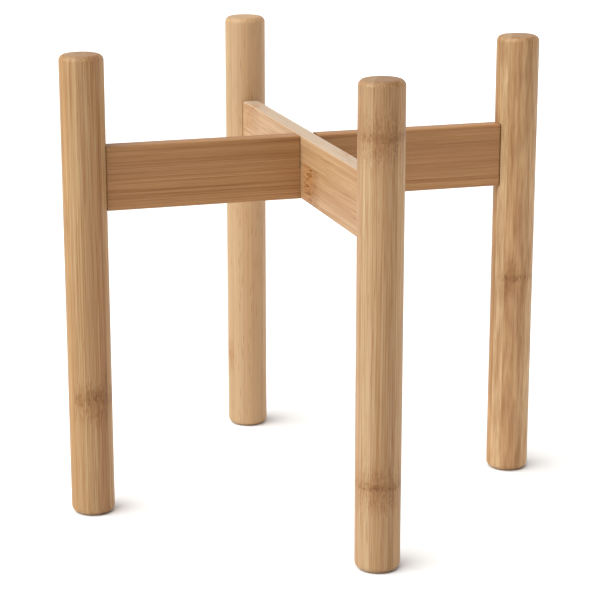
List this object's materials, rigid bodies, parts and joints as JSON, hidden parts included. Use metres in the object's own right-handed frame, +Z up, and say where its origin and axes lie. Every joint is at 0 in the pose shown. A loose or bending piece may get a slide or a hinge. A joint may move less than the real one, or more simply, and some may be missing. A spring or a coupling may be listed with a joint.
{
  "type": "plant pot stand",
  "caption": "Bamboo plant pot stand: round legs in two H-shaped frames whose flat crossbars interlock in a half-lap joint and carry the pot between the legs.",
  "frame": {"origin": "on the floor, straight under the middle of the two crossbars", "axes": "+Z up; +X from the left leg to the right leg along the lower crossbar; +Y from the front leg to the back leg along the upper crossbar"},
  "size_m": [0.32, 0.32, 0.3],
  "materials": {
    "bamboo_leg": "laminated bamboo, turned and sanded, satin clear lacquer",
    "bamboo_crossbar": "laminated bamboo, planed with eased edges, satin clear lacquer",
    "beech_dowel": "plain beech, fluted and glued"
  },
  "bodies": {
    "lower_frame": {"lower_crossbar": "bamboo_crossbar", "left_leg": "bamboo_leg", "right_leg": "bamboo_leg", "left_dowel_high": "beech_dowel", "left_dowel_low": "beech_dowel", "right_dowel_high": "beech_dowel", "right_dowel_low": "beech_dowel"},
    "upper_frame": {"upper_crossbar": "bamboo_crossbar", "front_leg": "bamboo_leg", "back_leg": "bamboo_leg", "front_dowel_high": "beech_dowel", "front_dowel_low": "beech_dowel", "back_dowel_high": "beech_dowel", "back_dowel_low": "beech_dowel"}
  },
  "joints": [
    {"name": "frame_lift", "type": "slide", "parent": "lower_frame", "child": "upper_frame", "axis": [0, 0, 1], "range_m": [0, 0.05]}
  ]
}
